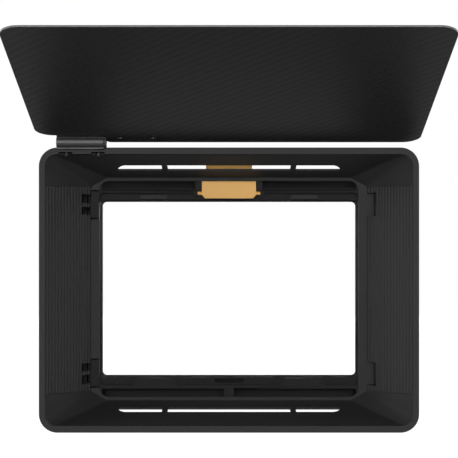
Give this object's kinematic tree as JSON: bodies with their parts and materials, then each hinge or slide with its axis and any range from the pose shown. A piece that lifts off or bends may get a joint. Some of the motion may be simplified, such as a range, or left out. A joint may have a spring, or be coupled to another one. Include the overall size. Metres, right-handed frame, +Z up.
{
  "type": "matte box",
  "caption": "Camera matte box: flared light hood that swings open, folding top flag on a torque hinge, and a filter stage with lift-out trays and a sprung catch.",
  "frame": {"origin": "on the optical axis at the rear mounting face", "axes": "-Y out of the hood towards the scene, +Y rearward to the lens, +X the hood's latch side, +Z up"},
  "size_m": [0.1848, 0.2001, 0.1764],
  "materials": {
    "hood_plastic": "fine grained matte black moulding",
    "stage_plastic": "fine grained matte black moulding",
    "tray_plastic": "matte black moulding",
    "carbon_sheet": "satin carbon fibre twill",
    "catch_orange": "satin orange",
    "hinge_steel": "blackened brushed steel",
    "arm_black": "black oxide, brushed",
    "pin_steel": "ground steel",
    "screw_black": "black oxide",
    "insert_brass": "knurled brass",
    "seal_rubber": "closed-cell foam rubber",
    "pad_rubber": "grey felt-faced rubber",
    "button_plastic": "smooth black moulding"
  },
  "bodies": {
    "stage": {"stage_front_frame": "stage_plastic", "stage_side_rail_left": "stage_plastic", "stage_side_rail_right": "stage_plastic", "stage_floor_rail": "stage_plastic", "stage_back_plate": "stage_plastic", "stage_screws": "screw_black", "rear_inserts": "insert_brass", "rear_light_seal": "seal_rubber", "catch_pin": "pin_steel", "catch_spring": "pin_steel"},
    "catch": {"filter_catch": "catch_orange"},
    "front_tray": {"front_tray_frame": "tray_plastic", "front_tray_pads": "pad_rubber", "front_tray_clips": "pin_steel"},
    "rear_tray": {"rear_tray_frame": "tray_plastic", "rear_tray_pads": "pad_rubber", "rear_tray_clips": "pin_steel"},
    "hood": {"hood_shell": "hood_plastic", "hinge_pin_upper": "pin_steel", "hinge_pin_lower": "pin_steel", "latch_spring_upper": "pin_steel", "latch_spring_lower": "pin_steel", "latch_covers": "hood_plastic", "latch_cover_screws": "screw_black", "flag_hinge_barrel": "hinge_steel", "hinge_foot_screws": "screw_black", "hinge_foot_nuts": "screw_black"},
    "upper_latch": {"latch_button_upper": "button_plastic"},
    "lower_latch": {"latch_button_lower": "button_plastic"},
    "flag": {"flag_panel": "carbon_sheet", "flag_hinge_arm": "arm_black", "flag_screws": "screw_black", "flag_screw_nuts": "screw_black"}
  },
  "joints": [
    {"name": "hood_swing", "type": "hinge", "parent": "stage", "child": "hood", "pos_m": [-0.0792, -0.028, 0], "axis": [0, 0, -1], "range_deg": [0, 95]},
    {"name": "flag_fold", "type": "hinge", "parent": "hood", "child": "flag", "pos_m": [-0.072, -0.0745, 0.0716], "axis": [1, 0, 0], "range_deg": [-55, 105]},
    {"name": "catch_tilt", "type": "hinge", "parent": "stage", "child": "catch", "pos_m": [0, -0.0211, 0.0498], "axis": [-1, 0, 0], "range_deg": [0, 8], "stiffness_Nm_per_rad": 0.05, "springref_deg": -17.19, "deforming": ["catch_spring"]},
    {"name": "upper_latch_press", "type": "slide", "parent": "hood", "child": "upper_latch", "axis": [-1, 0, 0], "range_m": [0, 0.002], "stiffness_N_per_m": 400, "springref_m": -0.002, "deforming": ["latch_spring_upper"]},
    {"name": "lower_latch_press", "type": "slide", "parent": "hood", "child": "lower_latch", "axis": [-1, 0, 0], "range_m": [0, 0.002], "stiffness_N_per_m": 400, "springref_m": -0.002, "deforming": ["latch_spring_lower"]},
    {"name": "front_tray_lift", "type": "slide", "parent": "stage", "child": "front_tray", "axis": [0, 0, 1], "range_m": [0, 0.105]},
    {"name": "rear_tray_lift", "type": "slide", "parent": "stage", "child": "rear_tray", "axis": [0, 0, 1], "range_m": [0, 0.105]}
  ]
}
